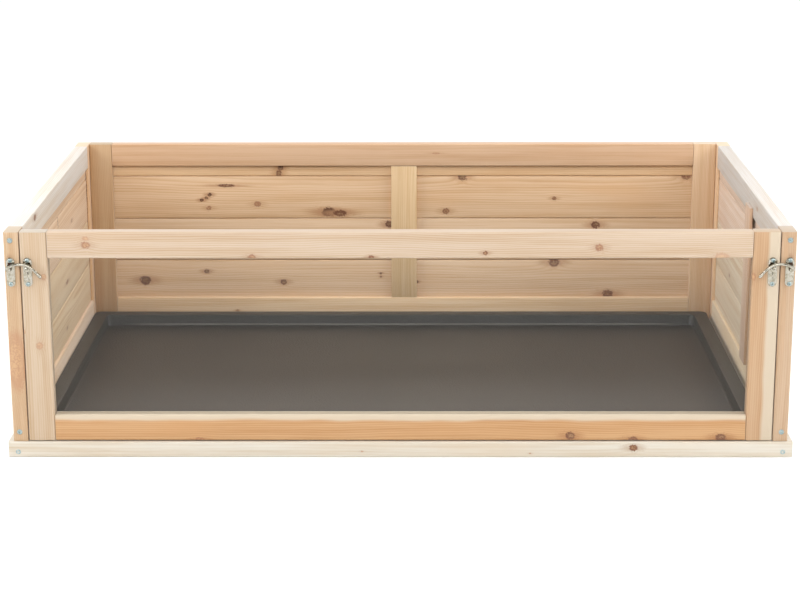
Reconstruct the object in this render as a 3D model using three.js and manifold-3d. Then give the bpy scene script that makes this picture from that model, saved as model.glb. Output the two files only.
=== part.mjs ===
// An open-topped timber pen for chicks and other small livestock. Two side walls and a back wall
// of boards held in grooved frames stand on a low base. A framed clear front panel lifts out between
// the front posts, two hook latches hold it upright, and a plastic tray lifts out of the floor.
// Lengths are in millimetres: x runs across the pen, y from front to back, z up.

import * as THREE from "three";
import { mergeVertices } from "three/addons/utils/BufferGeometryUtils.js";
import Module from "manifold-3d";

const wasm = await Module();
wasm.setup();

// Overall sizes. y = 0 is the front face of the front posts until the pen is centred at the end.
const PEN_WIDTH = 1160; // over the outer faces of the side walls
const PEN_DEPTH = 702; // front of the posts to the back of the back wall
const WALL_TOP = 346.5;
const FIT = 0.3; // gap left wherever two pieces meet

// Timber: every frame is planed stock of one section, the walls are filled with thin boards.
const STOCK_WIDE = 40;
const STOCK_THICK = 22;
const BOARD_THICK = 8;
const BOARD_SEAMS = [56.3, 133, 210, 287.5, 314.7]; // heights of the boards' edges
const GROOVE_DEPTH = 8.3; // in the frames, for the boards and the clear pane
const TONGUE_HIGH = 3;
const TONGUE_THICK = 2.6;
const RAIL_HIGH = 39.5;
const BATTEN_WIDE = 46;
const BATTEN_THICK = 5;

// Base: four strips on the flat, a little wider than the pen, with a thin floor in a groove.
const BASE_HIGH = 24.3;
const BASE_PROUD_SIDE = 8;
const BASE_PROUD_END = 2.5;
const FLOOR_TOP = 17.7;
const FLOOR_THICK = 4;
const FLOOR_LAP = 8; // into the grooves of the strips

// Front panel: stands between the posts on two dowels.
const PANEL_SIDE_GAP = 1.2;
const PANEL_FOOT_GAP = 1.5;
const PANEL_THICK = 21.5;
const PANE_THICK = 3;
const DOWEL_RADIUS = 4;
const DOWEL_DEPTH = 14; // down into the base
const DOWEL_RISE = 11.7; // up out of the base

// Tray: a flat rim with an outer skirt over the base strips, and a well that hangs between them and
// stands on the floor.
const TRAY_TOP = 40;
const TRAY_RIM = 24;
const TRAY_WALL = 3;
const TRAY_TAPER = 3; // the well's walls lean in by this much on the way down
const TRAY_CORNER = 12;
const WELL_CORNER = 10;
const TRAY_LEFT = -556.8;
const TRAY_RIGHT = 549.3;
const TRAY_FRONT = 24;
const TRAY_BACK = 675;

// Latches: a hook turns on the front panel's plate and drops behind the lip of the post's plate.
const PLATE_WIDE = 13;
const PLATE_HIGH = 44;
const PLATE_THICK = 1.5;
const PLATE_Z = 286.5; // centre height of both plates
const CATCH_X = 571;
const HOOK_PLATE_X = 546;
const PLATE_SCREW_RISE = 17.75; // screws above and below the plate's centre
const PIVOT_Z = 292.5;
const HOOK_REACH = 8; // the hook's centre plane, forward of the timber
const HOOK_RADIUS = 2;
const EAR_RADIUS = 4.4;
const EAR_THICK = 2.4;
const PIVOT_HOLE = 1.9;
const LIP_X = 572.3;
const LIP_WIDE = 5;
const LIP_TOP = 2.2; // above the pivot
const SHELF_TOP = -2; // below the pivot
const HOOD_DEEP = 6.4;
const HOOD_SLOT = 2.9;
const HOOD_ROOF = 2.9; // height of the slot's roof above the pivot
const FINGER_RADIUS = 2.7;
// The hood's outline from the pivot, and the bar's centre line: outboard distance, then height.
const HOOD_OUTLINE = [
  [19.5, 8.5],
  [31.5, 4.2],
  [31.5, -1.7],
  [29.5, -1.7],
  [19.5, 4.9],
];
const HOOK_LINE = [
  [30, 2.4],
  [19.5, 6.6],
  [9, 8.2],
  [-2, 5],
  [-10, -1],
  [-15.5, -7.5],
  [-19, -11.2],
];

// Screws
const POST_SCREW_X = 570.5;
const POST_SCREW_Z = [334, 39];
const POST_SCREW_LONG = 70;
const POST_SCREW_RADIUS = 2;
const POST_SCREW_HEAD = 4;
const PLATE_SCREW_LONG = 13;
const PLATE_SCREW_RADIUS = 1.5;
const PLATE_SCREW_HEAD = 3.25;

const innerX = PEN_WIDTH / 2 - STOCK_THICK;
const wallFoot = BASE_HIGH + FIT;
const wallBoardEnd = STOCK_WIDE - GROOVE_DEPTH + FIT;

const finish = {
  paleTimber: [0xe9cfa6, 0.75],
  warmTimber: [0xe0b585, 0.75],
  boardTimber: [0xd9b48a, 0.8],
  battenTimber: [0xe3c08f, 0.78],
  plywood: [0xd8bd92, 0.85],
  trayPlastic: [0x4a4643, 0.6],
  clearPane: [0xf4f8f8, 0.08],
  zinc: [0xc9cbc8, 0.3, 1],
  blueZinc: [0x9fb2bd, 0.35, 1],
};

// ---- shapes and cuts ----

// A closed geometry as a solid that can be joined and cut.
function solidOf(geometry) {
  const bare = geometry.index ? geometry.toNonIndexed() : geometry.clone();
  bare.deleteAttribute("normal");
  bare.deleteAttribute("uv");
  const merged = mergeVertices(bare, 1e-4);
  return new wasm.Manifold(
    new wasm.Mesh({
      numProp: 3,
      vertProperties: merged.attributes.position.array,
      triVerts: new Uint32Array(merged.index.array),
    }),
  );
}

// The geometry with every cutter taken away from it.
function cut(geometry, ...cutters) {
  const left = cutters.reduce((solid, cutter) => solid.subtract(solidOf(cutter)), solidOf(geometry));
  return geometryOf(left);
}

function join(...geometries) {
  return geometryOf(geometries.map(solidOf).reduce((whole, solid) => whole.add(solid)));
}

function geometryOf(solid) {
  const { numProp, vertProperties, triVerts } = solid.getMesh();
  const geometry = new THREE.BufferGeometry();
  geometry.setAttribute("position", new THREE.BufferAttribute(vertProperties, numProp));
  geometry.setIndex(new THREE.BufferAttribute(triVerts, 1));
  const faceted = geometry.toNonIndexed();
  faceted.computeVertexNormals();
  return faceted;
}

// A rectangular block between two values on each axis.
function block([x0, x1], [y0, y1], [z0, z1]) {
  const box = new THREE.BoxGeometry(x1 - x0, y1 - y0, z1 - z0);
  return box.translate((x0 + x1) / 2, (y0 + y1) / 2, (z0 + z1) / 2);
}

// A round bar along x, y or z between two values, centred on the other two axes' values.
function rod(axis, radius, [from, to], [a, b], sides = 12) {
  const bar = new THREE.CylinderGeometry(radius, radius, to - from, sides);
  const middle = (from + to) / 2;
  if (axis === "x") return bar.rotateZ(Math.PI / 2).translate(middle, a, b);
  if (axis === "y") return bar.translate(a, middle, b);
  return bar.rotateX(Math.PI / 2).translate(a, b, middle);
}

// A piece turned about y: pairs of [distance along y, radius], starting and ending on the axis.
function turnedAlongY(profile, [x, z], sides = 12) {
  const points = profile.map(([y, radius]) => new THREE.Vector2(radius, y));
  return new THREE.LatheGeometry(points, sides).translate(x, 0, z);
}

// A flat outline drawn in x and z, given a thickness along y.
function plateAlongY(outline, [y0, y1]) {
  const plate = new THREE.ExtrudeGeometry(outline, {
    depth: y1 - y0,
    bevelEnabled: false,
    curveSegments: 8,
  });
  return plate.rotateX(Math.PI / 2).translate(0, y1, 0);
}

const pen = new THREE.Group();

function add(name, geometry, [color, roughness, metalness = 0], parent = pen) {
  const material = new THREE.MeshStandardMaterial({ color, roughness, metalness });
  if (color === finish.clearPane[0]) {
    material.transparent = true;
    material.opacity = 0.25;
  }
  const mesh = new THREE.Mesh(geometry, material);
  mesh.name = name;
  parent.add(mesh);
}

// ---- base ----

function addBase() {
  const outerX = PEN_WIDTH / 2 + BASE_PROUD_SIDE;
  const front = -BASE_PROUD_END;
  const back = PEN_DEPTH + BASE_PROUD_END;
  const high = [0, BASE_HIGH];
  const insideX = outerX - STOCK_WIDE;
  const insideFront = front + STOCK_WIDE;
  const insideBack = back - STOCK_WIDE;

  const floorBlock = (grow) =>
    block(
      [-insideX - FLOOR_LAP - grow, insideX + FLOOR_LAP + grow],
      [insideFront - FLOOR_LAP - grow, insideBack + FLOOR_LAP + grow],
      [FLOOR_TOP - FLOOR_THICK - grow, FLOOR_TOP + grow],
    );
  const groove = floorBlock(FIT);
  const dowelHole = (side) =>
    rod("z", DOWEL_RADIUS + FIT, [BASE_HIGH - DOWEL_DEPTH - FIT, BASE_HIGH + 1], dowelPlace(side));

  const frontStrip = block([-outerX, outerX], [front, insideFront], high);
  add("base_front_strip", cut(frontStrip, groove, dowelHole(-1), dowelHole(1)), finish.paleTimber);
  const rearStrip = block([-outerX, outerX], [insideBack, back], high);
  add("base_rear_strip", cut(rearStrip, groove), finish.paleTimber);
  for (const [name, side] of [["left", -1], ["right", 1]]) {
    const across = [insideX, outerX].map((x) => x * side).sort((a, b) => a - b);
    const strip = block(across, [insideFront + FIT, insideBack - FIT], high);
    add(`base_${name}_strip`, cut(strip, groove), finish.paleTimber);
    const dowel = rod(
      "z",
      DOWEL_RADIUS,
      [BASE_HIGH - DOWEL_DEPTH, BASE_HIGH + DOWEL_RISE],
      dowelPlace(side),
    );
    add(`${name}_dowel`, dowel, finish.battenTimber);
  }
  add("base_floor_panel", floorBlock(0), finish.plywood);
}

// The dowels stand under the middle of the front panel's stiles.
function dowelPlace(side) {
  return [side * (innerX - PANEL_SIDE_GAP - STOCK_WIDE / 2), PANEL_THICK / 2];
}

// ---- walls ----

// One board with a tongue on its top edge and a groove in its bottom edge, run along x.
function boardAlongX([x0, x1], inner, [z0, z1], hasTongue, hasGroove) {
  const outer = inner + BOARD_THICK;
  const middle = (inner + outer) / 2;
  const tongue = TONGUE_THICK / 2;
  const groove = tongue + FIT;
  const outline = [[inner, z0]];
  if (hasGroove) {
    const deep = z0 + TONGUE_HIGH + FIT;
    outline.push([middle - groove, z0], [middle - groove, deep]);
    outline.push([middle + groove, deep], [middle + groove, z0]);
  }
  outline.push([outer, z0], [outer, z1]);
  if (hasTongue) {
    const high = z1 + TONGUE_HIGH;
    outline.push([middle + tongue, z1], [middle + tongue, high]);
    outline.push([middle - tongue, high], [middle - tongue, z1]);
  }
  outline.push([inner, z1]);
  const shape = new THREE.Shape(outline.map(([y, z]) => new THREE.Vector2(y, z)));
  const board = new THREE.ExtrudeGeometry(shape, { depth: x1 - x0, bevelEnabled: false });
  const turn = new THREE.Matrix4().makeBasis(
    new THREE.Vector3(0, 1, 0),
    new THREE.Vector3(0, 0, 1),
    new THREE.Vector3(1, 0, 0),
  );
  return board.applyMatrix4(turn).translate(x0, 0, 0);
}

// A framed wall in its own frame: x along it, y = 0 on its inner face, z up. Stiles run full height,
// the rails stand between them, and the boards sit in a groove all round.
function addWall(wall) {
  const { name, length, stiles, recess, batten, place, turn, screwEnd } = wall;
  const group = new THREE.Group();
  group.position.set(...place);
  group.rotation.z = turn;
  pen.add(group);

  const thick = [0, STOCK_THICK];
  const grooveY = [recess - FIT, recess + BOARD_THICK + FIT];
  const boardsX = [wallBoardEnd, length - wallBoardEnd];
  const grooveX = [boardsX[0] - FIT, boardsX[1] + FIT];
  const grooveZ = [BOARD_SEAMS[0] - FIT, BOARD_SEAMS.at(-1) + FIT];
  const groove = block(grooveX, grooveY, grooveZ);

  // Long screws join the front post to the rails; short ones hold the latch plate on it.
  const bores = [];
  if (screwEnd) {
    const intoWall = (depth) => (screwEnd === "start" ? [-1, depth] : [length - depth, length + 1]);
    const postScrewY = POST_SCREW_X - innerX;
    for (const z of POST_SCREW_Z) {
      const shank = intoWall(POST_SCREW_LONG + 1);
      bores.push(rod("x", POST_SCREW_RADIUS + FIT, shank, [postScrewY, z], 10));
      bores.push(rod("x", POST_SCREW_HEAD + FIT, intoWall(3), [postScrewY, z], 16));
    }
    for (const z of plateScrewHeights()) {
      const shank = intoWall(PLATE_SCREW_LONG + 1);
      bores.push(rod("x", PLATE_SCREW_RADIUS + FIT, shank, [CATCH_X - innerX, z], 10));
    }
  }

  const addCut = (part, geometry, look) =>
    add(`${name}_${part}`, cut(geometry, groove, ...bores), look, group);
  const full = [wallFoot, WALL_TOP];
  addCut(stiles[0], block([0, STOCK_WIDE], thick, full), finish.warmTimber);
  addCut(stiles[1], block([length - STOCK_WIDE, length], thick, full), finish.warmTimber);
  const railX = [STOCK_WIDE + FIT, length - STOCK_WIDE - FIT];
  addCut("bottom_rail", block(railX, thick, [wallFoot, wallFoot + RAIL_HIGH]), finish.paleTimber);
  addCut("top_rail", block(railX, thick, [WALL_TOP - RAIL_HIGH, WALL_TOP]), finish.paleTimber);

  const rows = BOARD_SEAMS.length - 1;
  for (let row = 0; row < rows; row++) {
    const edges = [BOARD_SEAMS[row], BOARD_SEAMS[row + 1] - (row < rows - 1 ? FIT : 0)];
    const board = boardAlongX(boardsX, recess, edges, row < rows - 1, row > 0);
    add(`${name}_board_${row + 1}`, board, finish.boardTimber, group);
  }
  const battenX = [batten.middle - BATTEN_WIDE / 2, batten.middle + BATTEN_WIDE / 2];
  add(`${name}_batten`, block(battenX, batten.y, batten.z), finish.battenTimber, group);
}

function addWalls() {
  // The side walls' battens are nailed over the rails: inside on the right, outside on the left.
  const overRails = [64, 323];
  addWall({
    name: "left",
    length: PEN_DEPTH,
    stiles: ["front_post", "rear_stile"],
    recess: 5,
    batten: { middle: 417, y: [STOCK_THICK + FIT, STOCK_THICK + FIT + BATTEN_THICK], z: overRails },
    place: [-innerX, 0, 0],
    turn: Math.PI / 2,
    screwEnd: "start",
  });
  addWall({
    name: "right",
    length: PEN_DEPTH,
    stiles: ["rear_stile", "front_post"],
    recess: 5,
    batten: { middle: 417, y: [-FIT - BATTEN_THICK, -FIT], z: overRails },
    place: [innerX, PEN_DEPTH, 0],
    turn: -Math.PI / 2,
    screwEnd: "end",
  });
  // The back wall stands between the side walls. Its batten lies on the boards between the rails.
  const backLength = 2 * (innerX - FIT);
  const backRecess = 9.3;
  addWall({
    name: "back",
    length: backLength,
    stiles: ["left_stile", "right_stile"],
    recess: backRecess,
    batten: {
      middle: backLength / 2 + 3,
      y: [0.8, backRecess - FIT],
      z: [wallFoot + RAIL_HIGH + FIT, WALL_TOP - RAIL_HIGH - FIT],
    },
    place: [-backLength / 2, PEN_DEPTH - STOCK_THICK, 0],
    turn: 0,
  });
}

// ---- front panel ----

function addFrontPanel() {
  const outerX = innerX - PANEL_SIDE_GAP;
  const foot = BASE_HIGH + PANEL_FOOT_GAP;
  const thick = [0, PANEL_THICK];
  const stileInside = outerX - STOCK_WIDE;
  const railsInside = [foot + RAIL_HIGH, WALL_TOP - RAIL_HIGH];
  const paneY = [(PANEL_THICK - PANE_THICK) / 2, (PANEL_THICK + PANE_THICK) / 2];
  const lap = GROOVE_DEPTH - FIT;
  const paneX = stileInside + lap;
  const paneZ = [railsInside[0] - lap, railsInside[1] + lap];
  const groove = block(
    [-paneX - FIT, paneX + FIT],
    [paneY[0] - FIT, paneY[1] + FIT],
    [paneZ[0] - FIT, paneZ[1] + FIT],
  );

  for (const [name, side] of [["left", -1], ["right", 1]]) {
    const across = [stileInside, outerX].map((x) => x * side).sort((a, b) => a - b);
    const bores = plateScrewHeights().map((z) =>
      rod("y", PLATE_SCREW_RADIUS + FIT, [-1, PLATE_SCREW_LONG + 1], [side * HOOK_PLATE_X, z], 10),
    );
    const socketTop = BASE_HIGH + DOWEL_RISE + FIT;
    bores.push(rod("z", DOWEL_RADIUS + FIT, [foot - 1, socketTop], dowelPlace(side)));
    const stile = cut(block(across, thick, [foot, WALL_TOP]), groove, ...bores);
    add(`front_${name}_stile`, stile, finish.warmTimber);
  }
  const railX = [-stileInside + FIT, stileInside - FIT];
  const bottomRail = block(railX, thick, [foot, railsInside[0]]);
  const topRail = block(railX, thick, [railsInside[1], WALL_TOP]);
  add("front_bottom_rail", cut(bottomRail, groove), finish.warmTimber);
  add("front_top_rail", cut(topRail, groove), finish.paleTimber);
  add("front_pane", block([-paneX, paneX], paneY, paneZ), finish.clearPane);
}

// ---- tray ----

// A rectangle with round corners, a given distance inside the tray's outer edge.
function trayOutline(inset, corner) {
  const [x0, x1] = [TRAY_LEFT + inset, TRAY_RIGHT - inset];
  const [y0, y1] = [TRAY_FRONT + inset, TRAY_BACK - inset];
  const outline = new THREE.Shape();
  outline.absarc(x0 + corner, y0 + corner, corner, Math.PI, 1.5 * Math.PI);
  outline.absarc(x1 - corner, y0 + corner, corner, 1.5 * Math.PI, 2 * Math.PI);
  outline.absarc(x1 - corner, y1 - corner, corner, 0, 0.5 * Math.PI);
  outline.absarc(x0 + corner, y1 - corner, corner, 0.5 * Math.PI, Math.PI);
  return outline;
}

function raised(outline, [z0, z1]) {
  const options = { depth: z1 - z0, bevelEnabled: false, curveSegments: 5 };
  return new THREE.ExtrudeGeometry(outline, options).translate(0, 0, z0);
}

// A raised outline of the tray whose top edge leans out all round.
function leaningOut(outline, [z0, z1], lean) {
  const solid = raised(outline, [z0, z1]);
  const place = solid.attributes.position;
  const middleX = (TRAY_LEFT + TRAY_RIGHT) / 2;
  const middleY = (TRAY_FRONT + TRAY_BACK) / 2;
  for (let i = 0; i < place.count; i++) {
    if (place.getZ(i) < (z0 + z1) / 2) continue;
    place.setX(i, place.getX(i) + lean * Math.sign(place.getX(i) - middleX));
    place.setY(i, place.getY(i) + lean * Math.sign(place.getY(i) - middleY));
  }
  return solid;
}

function addTray() {
  const skirtFoot = BASE_HIGH + FIT;
  const wellFoot = FLOOR_TOP + FIT;
  const underRim = TRAY_TOP - TRAY_WALL;
  const wellInset = TRAY_RIM + TRAY_TAPER;
  const lid = cut(
    raised(trayOutline(0, TRAY_CORNER), [skirtFoot, TRAY_TOP]),
    raised(trayOutline(TRAY_WALL, TRAY_CORNER - TRAY_WALL), [skirtFoot - 1, underRim]),
  );
  const pan = leaningOut(
    trayOutline(wellInset - TRAY_WALL, WELL_CORNER + TRAY_WALL),
    [wellFoot, underRim + 1],
    TRAY_TAPER,
  );
  const well = leaningOut(
    trayOutline(wellInset, WELL_CORNER),
    [wellFoot + TRAY_WALL, TRAY_TOP + 0.5],
    TRAY_TAPER,
  );
  add("tray", cut(join(lid, pan), well), finish.trayPlastic);
}

// ---- latches ----

function plateScrewHeights() {
  return [PLATE_Z + PLATE_SCREW_RISE, PLATE_Z - PLATE_SCREW_RISE];
}

// A long plate with round ends, with holes for its two screws.
function latchPlate(x) {
  const radius = PLATE_WIDE / 2;
  const straight = PLATE_HIGH / 2 - radius;
  const outline = new THREE.Shape();
  outline.absarc(x, PLATE_Z + straight, radius, 0, Math.PI);
  outline.absarc(x, PLATE_Z - straight, radius, Math.PI, 2 * Math.PI);
  const plate = plateAlongY(outline, [-FIT - PLATE_THICK, -FIT]);
  const hole = PLATE_SCREW_RADIUS + FIT;
  return cut(plate, ...plateScrewHeights().map((z) => rod("y", hole, [-5, 5], [x, z], 10)));
}

// The post's plate: a tongue is pressed out of a window, forward and then up, to make the lip.
function catchPlate(side) {
  const plateFront = -FIT - PLATE_THICK;
  const shelf = PIVOT_Z + SHELF_TOP;
  const lipTop = PIVOT_Z + LIP_TOP;
  const lipY = [-HOOK_REACH - PLATE_THICK / 2, -HOOK_REACH + PLATE_THICK / 2];
  const across = [LIP_X - LIP_WIDE / 2, LIP_X + LIP_WIDE / 2].map((x) => x * side).sort((a, b) => a - b);
  const tongueLong = HOOK_REACH + lipTop - shelf;
  const window = block(across, [-5, 5], [shelf, shelf + tongueLong - PLATE_THICK]);
  const shelfBlock = block(across, [lipY[0], plateFront + 1], [shelf - PLATE_THICK, shelf]);
  const lip = block(across, lipY, [shelf - PLATE_THICK, lipTop]);
  return join(cut(latchPlate(side * CATCH_X), window), shelfBlock, lip);
}

// A bent bar with an ear that turns on the pivot. Its outer end widens into a slotted hood that
// drops over the lip, its inner end is a knob for a finger.
function hook(side) {
  const x = (outboard) => side * (HOOK_PLATE_X + outboard);
  const line = HOOK_LINE.map(([out, up]) => new THREE.Vector3(x(out), -HOOK_REACH, PIVOT_Z + up));
  const section = new THREE.Shape().absarc(0, 0, HOOK_RADIUS, 0, 2 * Math.PI);
  const bar = new THREE.ExtrudeGeometry(section, {
    extrudePath: new THREE.CatmullRomCurve3(line),
    steps: 22,
    curveSegments: 5,
    bevelEnabled: false,
  });
  const centredOn = (deep) => [-HOOK_REACH - deep / 2, -HOOK_REACH + deep / 2];
  const corners = HOOD_OUTLINE.map(([out, up]) => new THREE.Vector2(x(out), PIVOT_Z + up));
  const hood = plateAlongY(new THREE.Shape(corners), centredOn(HOOD_DEEP));
  const slotX = [x(LIP_X - HOOK_PLATE_X - LIP_WIDE / 2 - 1.2), x(40)].sort((a, b) => a - b);
  const slot = block(slotX, centredOn(HOOD_SLOT), [PIVOT_Z - 9, PIVOT_Z + HOOD_ROOF]);
  const tip = line.at(-1);
  const finger = new THREE.SphereGeometry(FINGER_RADIUS, 10, 8).translate(tip.x, tip.y, tip.z);
  const ear = rod("y", EAR_RADIUS, centredOn(EAR_THICK), [x(0), PIVOT_Z], 16);
  return cut(join(bar, hood, finger, ear), slot, rod("y", PIVOT_HOLE, [-20, 0], [x(0), PIVOT_Z]));
}

// The pivot's tail is pressed into the plate, a collar holds the hook off it, a head keeps it on.
function pivot(x) {
  const earFront = -HOOK_REACH - EAR_THICK / 2 - FIT;
  const earBack = -HOOK_REACH + EAR_THICK / 2 + FIT;
  const profile = [
    [earFront - 1.4, 0],
    [earFront - 1.2, 1.9],
    [earFront - 0.5, 2.7],
    [earFront, 2.7],
    [earFront, PIVOT_HOLE - FIT],
    [earBack, PIVOT_HOLE - FIT],
    [earBack, 3.4],
    [-PLATE_THICK - 2 * FIT, 3.4],
    [-PLATE_THICK - 2 * FIT, PIVOT_HOLE - FIT],
    [-2 * FIT, PIVOT_HOLE - FIT],
    [-2 * FIT, 0],
  ];
  return turnedAlongY(profile, [x, PIVOT_Z]);
}

// A pan-head screw through a latch plate into the timber.
function plateScrew(x, z) {
  const under = -PLATE_THICK - 2 * FIT;
  const profile = [
    [under - 2.2, 0],
    [under - 2.1, 1.8],
    [under - 1.2, 3.2],
    [under, PLATE_SCREW_HEAD],
    [under, PLATE_SCREW_RADIUS],
    [PLATE_SCREW_LONG - 3, PLATE_SCREW_RADIUS],
    [PLATE_SCREW_LONG, 0],
  ];
  return turnedAlongY(profile, [x, z]);
}

// A countersunk screw, its head flush with the front of the post.
function postScrew(x, z) {
  const profile = [
    [0.2, 0],
    [0.2, POST_SCREW_HEAD],
    [2.6, POST_SCREW_RADIUS],
    [POST_SCREW_LONG - 4, POST_SCREW_RADIUS],
    [POST_SCREW_LONG, 0],
  ];
  return turnedAlongY(profile, [x, z], 16);
}

function addLatch(name, side) {
  const catchX = side * CATCH_X;
  const pivotX = side * HOOK_PLATE_X;
  add(`${name}_catch_plate`, catchPlate(side), finish.zinc);
  const hookPlate = cut(latchPlate(pivotX), rod("y", PIVOT_HOLE, [-5, 5], [pivotX, PIVOT_Z]));
  add(`${name}_hook_plate`, hookPlate, finish.zinc);
  add(`${name}_hook_pivot`, pivot(pivotX), finish.zinc);
  add(`${name}_hook`, hook(side), finish.zinc);
  plateScrewHeights().forEach((z, i) => {
    const level = ["upper", "lower"][i];
    add(`${name}_catch_screw_${level}`, plateScrew(catchX, z), finish.blueZinc);
    add(`${name}_hook_screw_${level}`, plateScrew(pivotX, z), finish.blueZinc);
    const postScrewMesh = postScrew(side * POST_SCREW_X, POST_SCREW_Z[i]);
    add(`${name}_post_screw_${level}`, postScrewMesh, finish.blueZinc);
  });
}

// ---- the whole pen, its origin on the ground under the middle of its outer box ----

addBase();
addWalls();
addFrontPanel();
addTray();
addLatch("left", -1);
addLatch("right", 1);

const frontmost = -HOOK_REACH - HOOD_DEEP / 2;
pen.position.y = -(frontmost + PEN_DEPTH + BASE_PROUD_END) / 2;
const centred = new THREE.Group();
centred.add(pen);

export default centred;
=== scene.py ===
import math

import bmesh
import bpy
from mathutils import Matrix, Vector


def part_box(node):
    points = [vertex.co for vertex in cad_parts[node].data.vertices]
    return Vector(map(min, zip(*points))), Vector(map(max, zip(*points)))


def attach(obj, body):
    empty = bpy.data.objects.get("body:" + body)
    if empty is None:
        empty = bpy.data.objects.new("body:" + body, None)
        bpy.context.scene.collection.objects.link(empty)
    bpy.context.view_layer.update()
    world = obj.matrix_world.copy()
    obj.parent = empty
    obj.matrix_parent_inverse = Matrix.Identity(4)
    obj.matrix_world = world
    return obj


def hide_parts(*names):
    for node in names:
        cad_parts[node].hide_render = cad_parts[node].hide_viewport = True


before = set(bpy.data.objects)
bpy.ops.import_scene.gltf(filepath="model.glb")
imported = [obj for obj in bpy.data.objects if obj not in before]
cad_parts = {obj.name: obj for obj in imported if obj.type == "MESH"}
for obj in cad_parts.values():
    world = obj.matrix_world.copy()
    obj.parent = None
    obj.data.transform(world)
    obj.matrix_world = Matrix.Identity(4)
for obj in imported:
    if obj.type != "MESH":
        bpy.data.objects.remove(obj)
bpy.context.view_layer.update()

# Camera: a long lens a little above the pen, looking slightly down on its front.
camera_data = bpy.data.cameras.new("camera")
camera_data.sensor_width = 36
camera_data.lens = 92.74
camera = bpy.data.objects.new("camera", camera_data)
bpy.context.collection.objects.link(camera)
camera_turn = (
    Matrix.Rotation(math.radians(0.43), 3, "Z")
    @ Matrix.Rotation(math.radians(90 - 15.16), 3, "X")
    @ Matrix.Rotation(math.radians(-0.13), 3, "Z")
)
camera.matrix_world = Matrix.LocRotScale(Vector((0.0224, -3.27445, 1.0372)), camera_turn, None)
bpy.context.scene.camera = camera
bpy.context.scene.view_settings.view_transform = "Standard"


# Studio: a pale sky that is darker behind the camera, a broad soft light in front and one on either
# side, one more for the floor at the back, and a white floor. The dark part of the sky gives the
# bright metal its contrast.
MM = 0.001
X, Y, Z = 0, 1, 2


class Shade:
    """One socket of a node tree. Arithmetic between sockets and numbers adds Math nodes."""

    def __init__(self, socket):
        self.socket = socket

    def node(self, kind, settings, values, output=0):
        """The output of a new node, its settings made first, then its sockets filled."""
        tree = self.socket.id_data
        made = tree.nodes.new(kind)
        for key, value in settings.items():
            setattr(made, key, value)
        for key, value in values.items():
            if isinstance(value, Shade):
                tree.links.new(value.socket, made.inputs[key])
            else:
                made.inputs[key].default_value = value
        return Shade(made.outputs[output])

    def math(self, operation, *values):
        return self.node("ShaderNodeMath", {"operation": operation}, dict(enumerate(values)))

    def __add__(self, other):
        return self.math("ADD", self, other)

    def __sub__(self, other):
        return self.math("SUBTRACT", self, other)

    def __rsub__(self, other):
        return self.math("SUBTRACT", other, self)

    def __mul__(self, other):
        return self.math("MULTIPLY", self, other)

    __radd__, __rmul__ = __add__, __mul__

    def ease(self, start, end):
        """0 at start and 1 at end, with a soft step between. start may be the larger."""
        settings = {"interpolation_type": "SMOOTHSTEP"}
        values = {"Value": self, "From Min": start, "From Max": end}
        return self.node("ShaderNodeMapRange", settings, values)

    def mix(self, first, second):
        """The first colour where this mask is 0, the second where it is 1."""
        return self.node("ShaderNodeMix", {"data_type": "RGBA"}, {0: self, 6: first, 7: second}, 2)

    def noise(self, along, across, deep, detail=2.0, rough=0.5):
        """Noise from 0 to 1 at a point given by three sockets."""
        point = self.node("ShaderNodeCombineXYZ", {}, {0: along, 1: across, 2: deep})
        values = {"Vector": point, "Scale": 1.0, "Detail": detail, "Roughness": rough}
        return self.node("ShaderNodeTexNoise", {}, values)

    def bump(self, strength, distance_mm):
        values = {"Height": self, "Strength": strength, "Distance": distance_mm * MM}
        return self.node("ShaderNodeBump", {}, values)


world = bpy.data.worlds.new("studio")
bpy.context.scene.world = world
world.use_nodes = True
sky = world.node_tree.nodes["Background"]
direction = Shade(world.node_tree.nodes.new("ShaderNodeTexCoord").outputs["Generated"])
sky_y, sky_z = (direction.node("ShaderNodeSeparateXYZ", {}, {0: direction}, axis) for axis in (Y, Z))
horizon_level, zenith_gain, dark_share = 0.42, 0.35, 0.75
behind_camera = (sky_y * -1).ease(0.4, 0.9)
glow = (sky_z.ease(0.0, 0.9) * zenith_gain + horizon_level) * (1 - behind_camera * dark_share)
world.node_tree.links.new(glow.socket, sky.inputs["Color"])

softbox_tall = 1.4
pen_middle = (0, 0, 0.15)
for name, place, aim, width, energy in (
    ("left_softbox", (-2.6, -0.7, 1.8), pen_middle, 1.8, 58),
    ("right_softbox", (2.6, -0.7, 1.8), pen_middle, 1.8, 58),
    ("front_softbox", (0.0, -3.7, 2.3), pen_middle, 3.4, 84),
    ("floor_softbox", (0.0, 4.2, 3.4), (0, 4.4, 0), 6.0, 100),
):
    softbox_data = bpy.data.lights.new(name, "AREA")
    softbox_data.shape = "RECTANGLE"
    softbox_data.size, softbox_data.size_y = width, softbox_tall
    softbox_data.energy = energy
    softbox = bpy.data.objects.new(name, softbox_data)
    bpy.context.collection.objects.link(softbox)
    softbox.location = place
    softbox.rotation_euler = (Vector(aim) - Vector(place)).to_track_quat("-Z", "Y").to_euler()


def finish_mesh(name, made, smooth_below=None):
    """An object of this name from a bmesh, shaded smooth where faces meet below an angle."""
    mesh = bpy.data.meshes.new(name)
    made.to_mesh(mesh)
    made.free()
    if smooth_below is not None:
        mesh.polygons.foreach_set("use_smooth", [True] * len(mesh.polygons))
        mesh.set_sharp_from_angle(angle=math.radians(smooth_below))
    piece = bpy.data.objects.new(name, mesh)
    bpy.context.collection.objects.link(piece)
    return piece


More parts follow.
